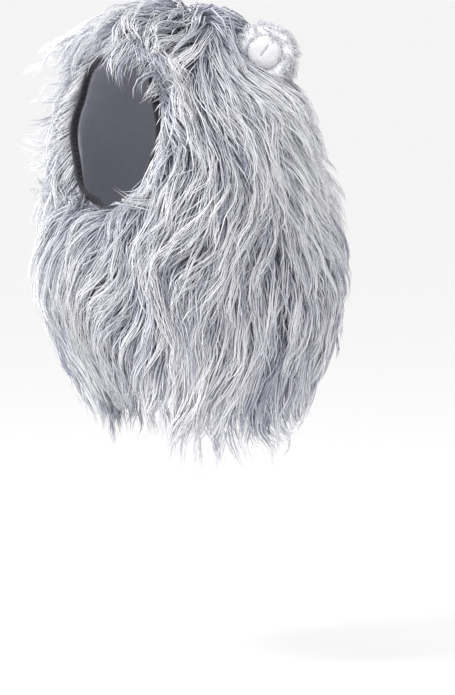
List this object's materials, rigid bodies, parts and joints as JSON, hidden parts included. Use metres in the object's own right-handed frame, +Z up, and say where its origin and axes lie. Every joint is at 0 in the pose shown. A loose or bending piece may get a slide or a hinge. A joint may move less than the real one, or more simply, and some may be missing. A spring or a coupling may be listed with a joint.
{
  "type": "pet lion mane wig",
  "caption": "Pull-on lion mane wig for a large pet: open fur-covered hood with an elastic face edge, long hanging locks and round plush ears.",
  "frame": {"origin": "where the inside of the crown rests on the wearer's head", "axes": "+Z up from the head, the face opening looks towards -Y, the wearer's left side is +X"},
  "size_m": [0.3544, 0.366, 0.5368],
  "materials": {
    "cloth": "matte knit backing of the fur",
    "band": "matte dark elastic",
    "fur": "silver-grey long-pile faux fur with a soft sheen",
    "plush": "short white plush"
  },
  "bodies": {
    "root": {"hood_cloth": "cloth", "face_band": "band", "mane_pile": "fur", "ear_left": "fur", "ear_right": "fur", "inner_ear_left": "plush", "inner_ear_right": "plush"}
  },
  "joints": []
}
